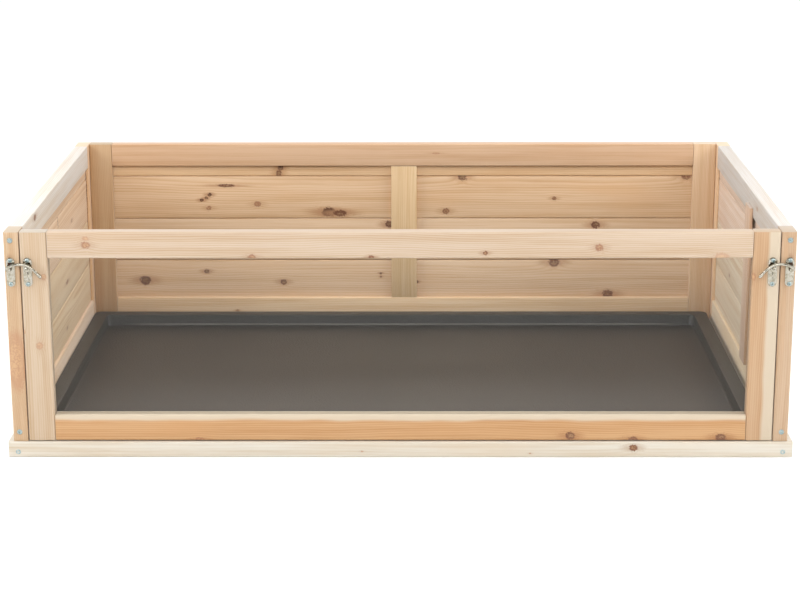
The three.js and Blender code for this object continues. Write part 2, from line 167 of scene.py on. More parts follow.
floor_half, floor_drop = 9, 0.4 * MM  # the drop keeps the floor clear of the base's underside
floor_mesh = bmesh.new()
bmesh.ops.create_grid(floor_mesh, x_segments=1, y_segments=1, size=floor_half)
bmesh.ops.translate(floor_mesh, vec=(0, 0, -floor_drop), verts=floor_mesh.verts)
studio_floor = finish_mesh("studio_floor", floor_mesh)
floor_paint = bpy.data.materials.new("studio_floor")
floor_paint.use_nodes = True
floor_shader = floor_paint.node_tree.nodes["Principled BSDF"]
floor_shader.inputs["Base Color"].default_value = (0.93, 0.93, 0.93, 1)
floor_shader.inputs["Roughness"].default_value = 0.9
studio_floor.data.materials.append(floor_paint)


# Base strips: planed spruce on the flat, the palest timber of the pen. The front strip runs the
# full width and is screwed through its face into the ends of the side strips.
def paint(hex_colour, red=1.0, green=1.0, blue=1.0):
    """Linear red, green, blue and alpha from a colour as it shows on a screen, each part scaled."""
    parts = [int(hex_colour[i : i + 2], 16) / 255 for i in (1, 3, 5)]
    linear = [p / 12.92 if p <= 0.04045 else ((p + 0.055) / 1.055) ** 2.4 for p in parts]
    return (*(min(p * scale, 0.97) for p, scale in zip(linear, (red, green, blue))), 1.0)


def new_material(name, **constants):
    """A material, its Principled shader with constants set, and a point on the piece in mm."""
    material = bpy.data.materials.new(name)
    material.use_nodes = True
    shader = material.node_tree.nodes["Principled BSDF"]
    for key, value in constants.items():
        shader.inputs[key.replace("_", " ")].default_value = value
    place = Shade(material.node_tree.nodes.new("ShaderNodeTexCoord").outputs["Object"])
    in_mm = place.node("ShaderNodeVectorMath", {"operation": "SCALE"}, {0: place, "Scale": 1 / MM})
    axes = [in_mm.node("ShaderNodeSeparateXYZ", {}, {0: in_mm}, axis) for axis in (X, Y, Z)]
    return material, shader, axes


def feed(shader, **values):
    """Links shader sockets to what varies over the surface."""
    for key, value in values.items():
        shader.id_data.links.new(value.socket, shader.inputs[key.replace("_", " ")])


def softwood(node, grain, face, tone, seed, pith=(70, -60), ring=2.6, figure=1.0, knots_and_shade=(), pale_band=None):
    """Planed softwood whose growth rings run round a pith line beside the piece. grain is the axis
    along the piece and face the axis across its wide face. ring is the width of a growth ring and
    pith the pith's distance from the piece's middle, across and behind that face, in mm. A knot, or a mark
    of painted shade drawn like one, is (along, across, radius, darkness, stretch): places and radius in mm,
    darkness from 0 to 1. pale_band is where a paler band of outer wood starts and is full, across the face
    in mm; on the front bottom rail it also stands in for painted highlight along the top edge."""
    deep_axis = 3 - grain - face
    low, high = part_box(node)
    middle = (low + high) / 2 / MM
    half_long = (high - low)[grain] / 2 / MM
    material, shader, axes = new_material(node, Sheen_Weight=0.22, Sheen_Roughness=0.4)
    along, across, deep = axes[grain], axes[face], axes[deep_axis]
    shift = 137.0 * seed  # a stretch of the noise for this piece alone

    # The rings wander slowly along the piece and swell out round each knot.
    sway = along.noise(along * 0.0022 + shift, across * 0.006, deep * 0.006, 1.0)
    ripple = along.noise(along * 0.014 + shift, across * 0.03, deep * 0.03, 1.0)
    from_pith_across = across - (middle[face] + pith[0]) + sway * 14 + ripple * 3
    from_pith_deep = deep - (middle[deep_axis] + pith[1]) + sway * 8
    square = from_pith_across * from_pith_across + from_pith_deep * from_pith_deep
    radius = square.math("SQRT", square)
    ragged = along.noise(along * 0.35 + shift, across * 0.35, deep * 0.06, 4.0) - 0.5
    cores = []
    for knot_along, knot_across, knot_radius, darkness, stretch in knots_and_shade:
        knot_radius *= 1.0 + 0.15 * darkness
        offset = ragged * (1.5 * knot_radius)
        reach = (along - knot_along + offset) * (1 / (knot_radius * stretch))
        side = (across - knot_across - offset) * (1 / knot_radius)
        distance = reach * reach + side * side
        distance = distance.math("SQRT", distance)
        swell = distance.math("EXPONENT", distance * -0.8)
        radius = radius + swell * (knot_radius * 1.7)
        drawn_out = reach * reach * 0.16 + side * side
        halo = drawn_out.math("SQRT", drawn_out).ease(1.9, 0.5)
        cores.append((distance, halo, darkness))

    # Each ring darkens slowly to its late wood and stops sharply. Streaks and fibres run along.
    wide = along.noise(radius * 0.05 + shift, 0.5, 0.5, 1.0)
    phase = radius * (1 / ring) + wide * 3
    phase = phase.math("FRACT", phase)
    late_wood = phase.ease(0.3, 0.92) * phase.ease(1.0, 0.93)
    streaks = along.noise(along * 0.003 + shift, across * 0.1, deep * 0.1, 3.0, 0.6)
    fibres = along.noise(along * 0.03 + shift, across * 1.3, deep * 1.3, 3.0, 0.65)
    patches = along.noise(along * 0.004 + shift + 31, across * 0.02, deep * 0.02, 2.0)

    warmth = late_wood * wide * (0.85 * figure) + streaks * 2.1 + fibres * 0.6 - 1.2
    timber = warmth.mix(paint(tone, 1.05, 1.07, 1.12), paint(tone, 0.84, 0.72, 0.58))
    blush = patches.ease(0.5, 0.75) * 0.5
    timber = blush.mix(timber, paint(tone, 1.0, 0.9, 0.8))
    # The paler band is sapwood; on the front bottom rail it is also painted highlight along the top edge.
    if pale_band:
        pale_band_colour = paint("#c5b59e")
        timber = (across + ripple * 6).ease(*pale_band).mix(timber, pale_band_colour)

    # A knot is a stain drawn out along the grain, then a heart with a dark outline round it. Marks of
    # painted shade are drawn the same way.
    for distance, halo, darkness in cores:
        shade = 1 - 0.72 * darkness
        stain = paint(tone, 0.5 + 0.35 * shade, 0.3 + 0.45 * shade, 0.18 + 0.5 * shade)
        timber = (halo * (0.35 + 0.5 * darkness)).mix(timber, stain)
        heart = paint("#c99a6c", shade, shade, shade)
        depth = 0.95 * darkness
        outline = paint("#a06a48", 1.1 - depth, 1.05 - depth, 1.05 - depth)
        speckled = (ragged + streaks * 0.3).ease(0.1, 0.24).mix(heart, outline)
        rim = distance.ease(0.45, 0.95).mix(speckled, outline)
        timber = (distance.ease(1.35, 0.85) * min(1.0, 0.4 + darkness)).mix(timber, rim)

    # Sawn ends are rougher, and painted paler as painted light: it stands in for the light from above on the
    # tops of the posts.
    from_middle = along - middle[grain]
    end = from_middle.math("ABSOLUTE", from_middle).ease(half_long - 0.5, half_long - 0.3)
    timber = end.mix(timber, paint(tone, 0.97, 1.1, 1.3))
    feed(
        shader,
        Base_Color=timber,
        Roughness=0.5 + fibres * 0.18 - late_wood * 0.05 + end * 0.2,
        Normal=(late_wood * 0.4 + fibres).bump(0.3, 0.2),
    )
    return material


SKIN = 0.02 * MM  # a new piece stays this far inside its node, so that the two share no faces


def cut_with(piece, cutter, operation):
    """Applies a boolean with another object, which is then thrown away."""
    cut = piece.modifiers.new("cut", "BOOLEAN")
    cut.operation = operation
    cut.solver = "EXACT"
    cut.object = cutter
    graph = bpy.context.evaluated_depsgraph_get()
    carved = bpy.data.meshes.new_from_object(piece.evaluated_get(graph))
    piece.modifiers.clear()
    piece.data = carved
    bpy.data.objects.remove(cutter)


def carve_like(piece, node):
    """Gives a piece the grooves and bores of the node that it stands for."""
    merged = bmesh.new()
    merged.from_mesh(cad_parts[node].data)
    bmesh.ops.remove_doubles(merged, verts=merged.verts, dist=0.005 * MM)
    pattern = finish_mesh("pattern", merged)
    cut_with(piece, pattern, "INTERSECT")


def block(low, high):
    """A bmesh box between two corners."""
    made = bmesh.new()
    bmesh.ops.create_cube(made, size=1)
    bmesh.ops.scale(made, vec=high - low, verts=made.verts)
    bmesh.ops.translate(made, vec=(low + high) / 2, verts=made.verts)
    return made


def round_edges(made, edges, radius_mm, segments):
    """Rounds some edges of a bmesh."""
    bmesh.ops.bevel(
        made,
        geom=edges,
        offset=radius_mm * MM,
        segments=segments,
        profile=0.5,
        affect="EDGES",
        material=-1,
        clamp_overlap=True,
    )


def runs_along(edge, axis):
    """Whether an edge of a bmesh is parallel to an axis."""
    step = edge.verts[1].co - edge.verts[0].co
    return abs(step[axis]) > 0.99 * step.length


def planed_bar(node, grain, arris_mm, end_arris_mm=0.5, carve=True):
    """A bar filling the node's box, its long edges eased by a radius and those of its sawn ends by
    another, then carved like the node."""
    low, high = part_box(node)
    skin = Vector((SKIN, SKIN, SKIN))
    bar = block(low + skin, high - skin)
    round_edges(bar, [e for e in bar.edges if runs_along(e, grain)], arris_mm, segments=4)
    round_edges(bar, [e for e in bar.edges if not runs_along(e, grain)], end_arris_mm, segments=2)
    piece = finish_mesh(f"{node}_wood", bar, 35)
    if carve:
        carve_like(piece, node)
    return piece


def stand_in(piece, node, body, material):
    """Puts a finished piece in a node's stead."""
    piece.data.materials.clear()
    piece.data.materials.append(material)
    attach(piece, body)
    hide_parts(node)


spruce = "#c9c1b1"
front_strip_knots = [(349.5, 15, 4.2, 0.65, 1.2), (-57, 9, 1.2, 0.2, 1.5), (195, 6, 1.0, 0.3, 1.5)]
for seed, (side_name, grain, knots_and_shade) in enumerate(
    (("front", X, front_strip_knots), ("rear", X, ()), ("left", Y, ()), ("right", Y, ())), 1
):
    node = f"base_{side_name}_strip"
    look = softwood(node, grain, Z, spruce, seed, pith=(70, 90), figure=0.5, knots_and_shade=knots_and_shade)
    stand_in(planed_bar(node, grain, arris_mm=1.4), node, "root", look)

# Floor panel: thin plywood let into grooves of the strips, which keeps the base square. It is seen
# only from below or with the tray out.
node = "base_floor_panel"
look = softwood(node, X, Y, "#e0c79d", seed=9, pith=(300, -420), ring=9, figure=0.8)
panel = planed_bar(node, X, arris_mm=0.4, end_arris_mm=0.4)
stand_in(panel, node, "root", look)

# Dowels: two short beech pegs with eased ends, glued into the front strip. The front panel drops
# over them, which holds its foot in place.
for seed, node in enumerate(("left_dowel", "right_dowel"), 11):
    low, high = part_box(node)
    radius = (high.x - low.x) / 2 - SKIN
    length = high.z - low.z - 2 * SKIN
    peg = bmesh.new()
    bmesh.ops.create_cone(
        peg, cap_ends=True, segments=32, radius1=radius, radius2=radius, depth=length
    )
    bmesh.ops.translate(peg, vec=(low + high) / 2, verts=peg.verts)
    round_edges(peg, [e for e in peg.edges if not runs_along(e, Z)], radius_mm=0.8, segments=3)
    look = softwood(node, Z, X, "#e2c093", seed, ring=1.5)
    stand_in(finish_mesh(f"{node}_wood", peg, 40), node, "root", look)


# Walls: frames of planed softwood with tongued boards let into grooves, and a batten nailed across
# each. The boards and the back wall's frame are knotty and warm, the side walls' rails nearly white.
def tongued_board(node, grain, thin, has_tongue, has_groove):
    """A board with eased edges, a tongue along its top and a groove along its bottom, both stopped
    just short of its ends. thin is the axis through its thickness."""
    tongue_high, tongue_thick, gap, open_joint = 3 * MM, 2.6 * MM, 0.3 * MM, 0.9 * MM
    stop = 0.5 * MM
    low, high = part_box(node)
    shoulder = high.copy()
    shoulder.z -= tongue_high + open_joint if has_tongue else 0
    board = block(low, shoulder)
    round_edges(board, [e for e in board.edges if runs_along(e, grain)], radius_mm=1.5, segments=3)
    middle = (low + high) / 2
    for wanted, upwards, width, rise in (
        (has_tongue, 1, tongue_thick, tongue_high + open_joint),
        (has_groove, -1, tongue_thick + 2 * gap, tongue_high + gap),
    ):
        if not wanted:
            continue
        flats = [f for f in board.faces if f.normal.z * upwards > 0.999]
        edge_face = max(flats, key=lambda f: f.calc_area())
        shelf = max(v.co[thin] for v in edge_face.verts) - middle[thin] - width / 2
        bmesh.ops.inset_region(board, faces=[edge_face], thickness=shelf, use_even_offset=True)
        for vert in edge_face.verts:
            at_low_end = vert.co[grain] < middle[grain]
            vert.co[grain] = low[grain] + stop if at_low_end else high[grain] - stop
        raised = bmesh.ops.extrude_face_region(board, geom=[edge_face])["geom"]
        bmesh.ops.delete(board, geom=[edge_face], context="FACES_ONLY")
        raised_verts = [g for g in raised if isinstance(g, bmesh.types.BMVert)]
        bmesh.ops.translate(board, vec=(0, 0, rise), verts=raised_verts)
    bmesh.ops.recalc_face_normals(board, faces=board.faces)
    return finish_mesh(f"{node}_wood", board, 35)


# What differs from piece to piece: its tone, where its pith lies, and its knots and marks of painted shade,
# which are drawn as knots. Long thin ones paint the shade in the gaps between the timbers, and a dark
# one at 296 mm on each front post paints the shade in its catch plate's window.
wall_looks = {
    # The dark knot at 296 mm on each front post is painted shade in its catch plate's window.
    "left_front_post": ("#c1a584", (-90, 40), [(150, -569, 14, 0.0, 3), (296, -572, 3.2, 1.0, 1.3)]),
    "left_rear_stile": (
        "#e0bc94",
        (60, 50),
        [
            # Long thin knots that paint the shade in the gap between the boards' ends and this stile.
            (303, -563.8, 1.0, 0.9, 16),
            (262, -563.6, 1.4, 1.0, 22),
            (212, -563.8, 1.0, 0.9, 26),
            (160, -563.6, 1.3, 0.95, 20),
            (100, -563.8, 1.0, 0.9, 26),
        ],
    ),
    "left_top_rail": ("#dbd3c7", (90, 80), [(-208, 337, 4, 0.6, 1.6)]),
    "left_bottom_rail": ("#e6cdb0", (70, 90), []),
    "left_board_1": ("#d8c09c", (30, 40), [(-205, 90, 3, 0.5, 6), (60, 85, 3, 0.4, 1.4)]),
    "left_board_2": (
        "#d8c09c",
        (-45, 30),
        [(-150, 175, 0.8, 0.9, 30), (-185, 190, 0.7, 0.9, 26), (80, 160, 3, 0.5, 3)],
    ),
    "left_board_3": ("#e1c4a4", (40, 35), [(16, 278, 9, 0.8, 0.07), (150, 250, 3, 0.3, 2)]),
    "left_board_4": ("#e1c4a4", (60, 50), []),
    # The knot at 296 mm is painted shade in the catch plate's window.
    "right_front_post": ("#b89c7e", (100, 50), [(296, 572, 3.2, 1.0, 1.3)]),
    "right_rear_stile": ("#e0bc94", (-60, 50), []),
    "right_top_rail": ("#ccc5bc", (80, 90), [(-120, 330, 3, 0.15, 2)]),
    "right_bottom_rail": ("#e2cead", (70, 90), []),
    "right_board_1": ("#d8c8ae", (-25, 35), [(-60, 95, 3.5, 0.3, 1.3)]),
    "right_board_2": ("#d8c8ae", (20, 32), [(-90, 170, 3, 0.2, 1.6), (160, 150, 3, 0.4, 1.3)]),
    "right_board_3": ("#e4cebb", (-35, 40), []),
    "right_board_4": ("#e4cebb", (60, 50), []),
    "back_left_stile": ("#bc9a73", (80, 45), []),
    "back_right_stile": ("#d5b591", (-80, 45), []),
    "back_top_rail": ("#cba784", (45, 40), [(60, 330, 1.5, 0.1, 4)]),
    "back_bottom_rail": ("#dec19c", (75, 60), [(-300, 40, 2, 0.3, 1.3)]),
    "back_board_4": ("#dfba8f", (60, 40), [(-218, 303, 5, 0.75, 0.8), (-221, 292, 5, 0.6, 0.8)]),
    "back_board_3": (
        "#d5b48f",
        (50, 40),
        [
            (-316, 269.6, 2.2, 0.7, 5.5),
            (-346, 253, 2.6, 0.85, 1.2),
            (-352, 247, 2.0, 0.8, 1.2),
            (-360, 243, 2.4, 0.85, 1.2),
            (-348, 228.5, 3.4, 0.35, 1.2),
            (-260, 235.7, 4.2, 0.35, 1.3),
            (-132.4, 221, 6.5, 0.85, 1.5),
            (-112, 219, 4.5, 0.7, 2.2),
            (507, 287, 5.5, 0.5, 1.3),
            (272, 246, 2.8, 0.55, 1.2),
            (107, 285, 5.0, 0.75, 1.2),
            (78, 222.6, 4.6, 0.5, 1.1),
        ],
    ),
    "back_board_2": (
        "#ceb190",
        (-60, 45),
        [(-24, 198.6, 5.0, 0.8, 1.1), (347.2, 197, 5.2, 0.75, 1.2), (-470, 160, 4, 0.5, 1.2)],
    ),
    "back_board_1": (
        "#d2b493",
        (45, 35),
        [
            (-466.3, 94.6, 6.5, 0.75, 1.2),
            (-355, 111.4, 3.2, 0.75, 1.2),
            (-215.6, 91.5, 4.2, 0.7, 1.1),
            (-39.4, 107.5, 1.6, 0.8, 1.2),
            (-39.4, 101, 1.4, 0.6, 1.2),
            (26, 91.6, 2.0, 0.8, 1.1),
            (273.7, 127.5, 6.0, 0.7, 1.3),
            (372.7, 68, 6.5, 0.7, 1.2),
        ],
    ),
}
seed = 20
for wall, grain, thin, ends in (
    ("left", Y, X, ("front_post", "rear_stile")),
    ("right", Y, X, ("front_post", "rear_stile")),
    ("back", X, Y, ("left_stile", "right_stile")),
):
    for part in (*ends, "top_rail", "bottom_rail", "board_1", "board_2", "board_3", "board_4"):
        node = f"{wall}_{part}"
        seed += 1
        tone, pith, knots_and_shade = wall_looks[node]
        if part in ends:
            # The timbers with knots or marks of painted shade are seen from the front, so these are placed
            # across x.
            face = X if knots_and_shade else grain
            look = softwood(node, Z, face, tone, seed, pith, ring=2.4, knots_and_shade=knots_and_shade)
            stand_in(planed_bar(node, Z, arris_mm=1.6), node, "root", look)
        elif "rail" in part:
            look = softwood(node, grain, Z, tone, seed, pith, figure=0.7, knots_and_shade=knots_and_shade)
            stand_in(planed_bar(node, grain, arris_mm=1.6), node, "root", look)
        else:
            row = int(part[-1])
            figure = 1.2 if wall == "back" else 1.7
            look = softwood(node, grain, Z, tone, seed, pith, ring=3.0, figure=figure, knots_and_shade=knots_and_shade)
            board = tongued_board(node, grain, thin, has_tongue=row < 4, has_groove=row > 1)
            stand_in(board, node, "root", look)
    node = f"{wall}_batten"
    seed += 1
    tone = "#cdae92" if wall == "right" else "#d0b38a"
    look = softwood(node, Z, grain, tone, seed, pith=(40, 45), ring=2.2, figure=0.8)
    batten = planed_bar(node, Z, arris_mm=1.0, carve=False)
    stand_in(batten, node, "root", look)

# Front panel: four planed timbers round a clear sheet that sits in a groove. The stiles run full
# height, and the right one and the bottom rail show a paler band of sapwood, which along the bottom
# rail's top edge also stands in for painted highlight.
# Each has the axes of its grain and face, its tone, pith, knots and paler band.
front_looks = {
    "front_left_stile": (
        Z,
        X,
        "#bea88d",
        (-70, 60),
        [(195, -556, 2.0, 0.0, 1.4), (173.4, -534, 4.6, 0.05, 1.1), (279, -523, 3.5, 0.1, 1.3)],
        None,
    ),
    "front_right_stile": (Z, X, "#b99875", (110, 60), [(279, 519, 3, 0.1, 1.6)], (539, 546)),
    "front_top_rail": (
        X,
        Z,
        "#c1ac94",
        (90, 60),
        [
            (-459.7, 327, 4.5, 0.3, 1.2),
            (-459.7, 337, 3.0, 0.0, 1.4),
            (-217, 309, 3.4, 0.4, 1.4),
            (-41.4, 308.6, 2.4, 0.6, 1.4),
            (125.5, 315, 2.6, 0.6, 1.1),
            (291.7, 323, 4.6, 0.35, 1.05),
            (471, 309, 5, 0.0, 2),
        ],
        None,
    ),
    "front_bottom_rail": (
        X,
        Z,
        "#bc9366",
        (80, 60),
        [
            (255, 33, 4.8, 0.7, 1.15),
            (480.4, 30, 5, 0.7, 1.2),
            (348.8, 26, 5, 0.6, 1.2),
            (-300, 27, 3, 0.3, 2),
        ],
        # The paler band along the top edge is sapwood and painted highlight.
        (57, 64),
    ),
}
for seed, (node, (grain, face, tone, pith, knots_and_shade, pale_band)) in enumerate(front_looks.items(), 60):
    look = softwood(node, grain, face, tone, seed, pith, knots_and_shade=knots_and_shade, pale_band=pale_band)
    stand_in(planed_bar(node, grain, arris_mm=2.6), node, "front_panel", look)

# Pane: a clear acrylic sheet with lightly eased edges, held in a groove all round the frame of the
# front panel. It shows a little gloss, most at a shallow angle.
pane = planed_bar("front_pane", X, arris_mm=0.4, end_arris_mm=0.4, carve=False)
pane.name = "front_pane_sheet"
acrylic = bpy.data.materials.new("clear_acrylic")
acrylic.use_nodes = True
tree = acrylic.node_tree
tree.nodes.remove(tree.nodes["Principled BSDF"])
see_through = tree.nodes.new("ShaderNodeBsdfTransparent")
see_through.inputs["Color"].default_value = (0.98, 0.985, 0.98, 1)
gloss = tree.nodes.new("ShaderNodeBsdfGlossy")
gloss.inputs["Roughness"].default_value = 0.04
fresnel = tree.nodes.new("ShaderNodeFresnel")
fresnel.inputs["IOR"].default_value = 1.49
gloss_share = Shade(fresnel.outputs[0]) * 0.35  # clear enough for the boards behind to show
blend = tree.nodes.new("ShaderNodeMixShader")
tree.links.new(gloss_share.socket, blend.inputs[0])
tree.links.new(see_through.outputs[0], blend.inputs[1])
tree.links.new(gloss.outputs[0], blend.inputs[2])
tree.links.new(blend.outputs[0], tree.nodes["Material Output"].inputs["Surface"])
stand_in(pane, "front_pane", "front_panel", acrylic)

# Tray: one thin moulding of dark grained plastic, scuffed paler over the middle of its floor, with
# painted shade on the well's walls and round the edge of its floor, and a painted highlight along the
# foot of its far wall. A skirt turns down outside its flat rim, and the well's walls lean in to a
# fillet round the floor.
tray_low, tray_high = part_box("tray")
wall_thick = 2.6 * MM
skirt_deep = 15.4 * MM
well_inset = Vector((27, 27, 0)) * MM
well_lean = 3 * MM
floor_rise = 3 * MM


def widest_face(made, up):
    """The face of a bmesh with the most area facing up, or facing down where up is -1."""
    return max(made.faces, key=lambda f: up * f.normal.z * f.calc_area())


tray_shape = block(
    Vector((tray_low.x + SKIN, tray_low.y + SKIN, tray_high.z - skirt_deep)),
    tray_high - Vector((SKIN, SKIN, SKIN)),
)
corners = [e for e in tray_shape.edges if runs_along(e, Z)]
round_edges(tray_shape, corners, radius_mm=12, segments=8)
underside = widest_face(tray_shape, -1)
bmesh.ops.delete(tray_shape, geom=[underside], context="FACES_ONLY")
round_edges(tray_shape, list(widest_face(tray_shape, 1).edges), radius_mm=1.8, segments=3)
bmesh.ops.delete(tray_shape, geom=[widest_face(tray_shape, 1)], context="FACES_ONLY")

well_low = tray_low + well_inset + Vector((0, 0, floor_rise))
well_high = tray_high - well_inset - Vector((0, 0, SKIN))
size = well_high - well_low
centre = (well_low + well_high) / 2
well = block(well_low, well_high)
round_edges(well, [e for e in well.edges if runs_along(e, Z)], radius_mm=10, segments=8)
mouth = widest_face(well, 1)
mouth_verts = list(mouth.verts)
bmesh.ops.delete(well, geom=[mouth], context="FACES_ONLY")
bmesh.ops.scale(
    well,
    vec=((size.x + 2 * well_lean) / size.x, (size.y + 2 * well_lean) / size.y, 1),
    space=Matrix.Translation(-centre),
    verts=mouth_verts,
)
round_edges(well, list(widest_face(well, -1).edges), radius_mm=3.2, segments=5)
bmesh.ops.reverse_faces(well, faces=well.faces)
well_mesh = bpy.data.meshes.new("well")
well.to_mesh(well_mesh)
well.free()

# The rim's flat joins the two shells, and its inner edge is rounded over.
tray_shape.from_mesh(well_mesh)
near_top = tray_high.z - MM
rims = [e for e in tray_shape.edges if e.is_boundary and e.verts[0].co.z > near_top]
bmesh.ops.bridge_loops(tray_shape, edges=rims)
mouth_edges = [
    e
    for e in tray_shape.edges
    if e.calc_face_angle(0) > math.radians(60) and min(v.co.z for v in e.verts) > near_top
]
round_edges(tray_shape, mouth_edges, radius_mm=1.6, segments=4)
tray = finish_mesh("tray_moulding", tray_shape, 50)
thickness = tray.modifiers.new("thickness", "SOLIDIFY")
thickness.thickness = wall_thick
thickness.offset = -1

plastic = "#37342f"
tray_plastic, shader, (px, py, pz) = new_material("tray_plastic", Specular_IOR_Level=0.4)
grained = px.node(
    "ShaderNodeTexVoronoi",
    {"feature": "SMOOTH_F1"},
    {"Vector": px.node("ShaderNodeCombineXYZ", {}, {0: px, 1: py, 2: pz}), "Scale": 0.35, "Smoothness": 0.4},
)
mottle = px.noise(px * 0.4, py * 0.4, pz * 0.4, 4.0, 0.6)
clouds = px.noise(px * 0.006, py * 0.01, pz * 0.02, 3.0)
cloudy = clouds.ease(0.3, 0.7) * 0.5 + mottle * 0.5
scuffs = cloudy.mix(paint(plastic, 0.82, 0.82, 0.82), paint(plastic, 1.2, 1.2, 1.2))

# The floor is scuffed paler away from the well's walls and painted darker near them as painted shade,
# and the walls carry painted shade that leaves the rim paler than them.
floor_mm, rim_mm = well_low.z / MM, tray_high.z / MM
from_ends = (well_high.x / MM - 20 - px.math("ABSOLUTE", px)).ease(-10, 50)
from_sides = (well_high.y / MM - py.math("ABSOLUTE", py)).ease(10, 90)
scuffed_and_unshaded = from_ends * from_sides * pz.ease(floor_mm + 2, floor_mm + 0.5)
on_rim = pz.ease(rim_mm - 1.5, rim_mm - 0.3)
shaded_walls_and_rim = on_rim.mix(paint(plastic, 0.4, 0.4, 0.37), paint(plastic, 0.6, 0.64, 0.57))
worn_and_shaded = (0.3 + scuffed_and_unshaded * 0.7).mix(shaded_walls_and_rim, scuffs)
# A painted highlight along the fillet at the foot of the far wall.
wall_foot = pz.ease(floor_mm + 1, floor_mm + 2) * pz.ease(floor_mm + 3.8, floor_mm + 2.8)
fillet_highlight = wall_foot * py.ease(200, 260) * from_ends * (0.4 + mottle * 0.6)
feed(
    shader,
    Base_Color=fillet_highlight.mix(worn_and_shaded, paint(plastic, 4.2, 4.3, 4.3)),
    Roughness=0.34 + mottle * 0.2,
    Normal=(grained + mottle * 0.6).bump(0.8, 0.8),
)
stand_in(tray, "tray", "lift_out_tray", tray_plastic)

# Latches: pressed plates, a bent hook with a slotted hood, and a turned pivot, in bright zinc
# plate. The plates are screwed to the post and to the panel, and the hook turns on the panel's.
zinc, shader, (px, py, pz) = new_material("zinc_plate", Metallic=1.0)
tarnish = px.noise(px * 0.3, py * 0.3, pz * 0.3, 3.0, 0.55)
dents = px.noise(px * 0.06, py * 0.06, pz * 0.06, 1.0)
feed(
    shader,
    Base_Color=tarnish.ease(0.35, 0.75).mix(paint("#b5b0a4"), paint("#8d8774")),
    Roughness=0.07 + tarnish * 0.14,
    Normal=dents.bump(0.35, 1.0),
)
sheet_thick = 1.5 * MM


def latch_plate(node):
    """A plate with round ends and eased edges, its holes and window taken from the node."""
    low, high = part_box(node)
    width, tall = high.x - low.x, high.z - low.z
    made = block(Vector((low.x, high.y - sheet_thick, low.z)), high)
    corners = [e for e in made.edges if runs_along(e, Y)]
    round_edges(made, corners, radius_mm=width / 2 / MM - 0.02, segments=12)
    bmesh.ops.remove_doubles(made, verts=made.verts, dist=0.05 * MM)
    outline = [e for e in made.edges if e.calc_face_angle(0) > 1]
    round_edges(made, outline, radius_mm=0.35, segments=3)
    trim = 0.1 * MM
    shrink = (1 - trim / width, 1 - SKIN / sheet_thick, 1 - trim / tall)
    middle = Vector((low.x + width / 2, high.y - sheet_thick / 2, low.z + tall / 2))
    bmesh.ops.scale(made, vec=shrink, space=Matrix.Translation(-middle), verts=made.verts)
    piece = finish_mesh(f"{node}_pressed", made, 35)
    carve_like(piece, node)
    return piece


def join_into(piece, *others):
    """Adds other objects' meshes to a piece's and throws the others away."""
    name = piece.name
    whole = bmesh.new()
    for part in (piece, *others):
        whole.from_mesh(part.data)
        bpy.data.objects.remove(part)
    return finish_mesh(name, whole, 35)


def lip_of(node):
    """The tongue of the catch plate: forward as a shelf, round a bend, and up."""
    low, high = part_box(node)
    side = math.copysign(1, low.x)
    lip_x, half_wide = side * 572.3 * MM, 2.5 * MM
    shelf_top, lip_top = 290.5 * MM, 294.7 * MM
    bend_y = low.y + sheet_thick
    made = block(
        Vector((lip_x - half_wide, bend_y, shelf_top - sheet_thick)),
        Vector((lip_x + half_wide, high.y - sheet_thick / 2, shelf_top)),
    )
    front = min(made.faces, key=lambda f: f.normal.y)
    bent = bmesh.ops.spin(
        made,
        geom=[front],
        cent=(0, bend_y, shelf_top),
        axis=(1, 0, 0),
        angle=-math.pi / 2,
        steps=8,
        use_duplicate=False,
    )
    tip = next(g for g in bent["geom_last"] if isinstance(g, bmesh.types.BMFace))
    grown = bmesh.ops.extrude_face_region(made, geom=[tip])["geom"]
    bmesh.ops.delete(made, geom=[tip, front], context="FACES_ONLY")
    grown_verts = [g for g in grown if isinstance(g, bmesh.types.BMVert)]
    bmesh.ops.translate(made, vec=(0, 0, lip_top - shelf_top), verts=grown_verts)
    bmesh.ops.remove_doubles(made, verts=made.verts, dist=0.01 * MM)
    bmesh.ops.recalc_face_normals(made, faces=made.faces)
    arrises = [e for e in made.edges if len(e.link_faces) == 2 and e.calc_face_angle(0) > 1]
    round_edges(made, arrises, radius_mm=0.25, segments=2)
    return finish_mesh("lip", made, 35)


def turned(name, profile, centre):
    """A round piece with its axis along y. The profile is pairs of y from the centre and radius, in
    mm, and starts and ends on the axis."""
    made = bmesh.new()
    verts = [made.verts.new((radius * MM, y * MM, 0)) for y, radius in profile]
    edges = [made.edges.new(pair) for pair in zip(verts, verts[1:])]
    bmesh.ops.spin(
        made,
        geom=verts + edges,
        cent=(0, 0, 0),
        axis=(0, 1, 0),
        angle=math.tau,
        steps=32,
        use_merge=True,
    )
    bmesh.ops.remove_doubles(made, verts=made.verts, dist=0.001 * MM)
    bmesh.ops.recalc_face_normals(made, faces=made.faces)
    bmesh.ops.translate(made, vec=centre, verts=made.verts)
    return finish_mesh(name, made, 35)


# The hook's bar and its hood, in mm from the pivot: distance outboard, height, and the bar's
# radius. The bar runs out of the hood, over the pivot and down to the pad for the finger.
bar_line = [
    (25, 4.9, 1.6),
    (19.5, 6.4, 2.5),
    (9, 8.0, 2.35),
    (-2, 5, 2.35),
    (-10, -1, 2.2),
    (-14.5, -6, 1.9),
    (-17.5, -9.6, 2.7),
    (-19.5, -11.7, 2.6),
    (-20.6, -12.8, 1.4),
]
hood_outline = [(19.6, 8.4), (31.4, 4.1), (31.4, -1.6), (29.6, -1.6), (19.6, 4.8)]


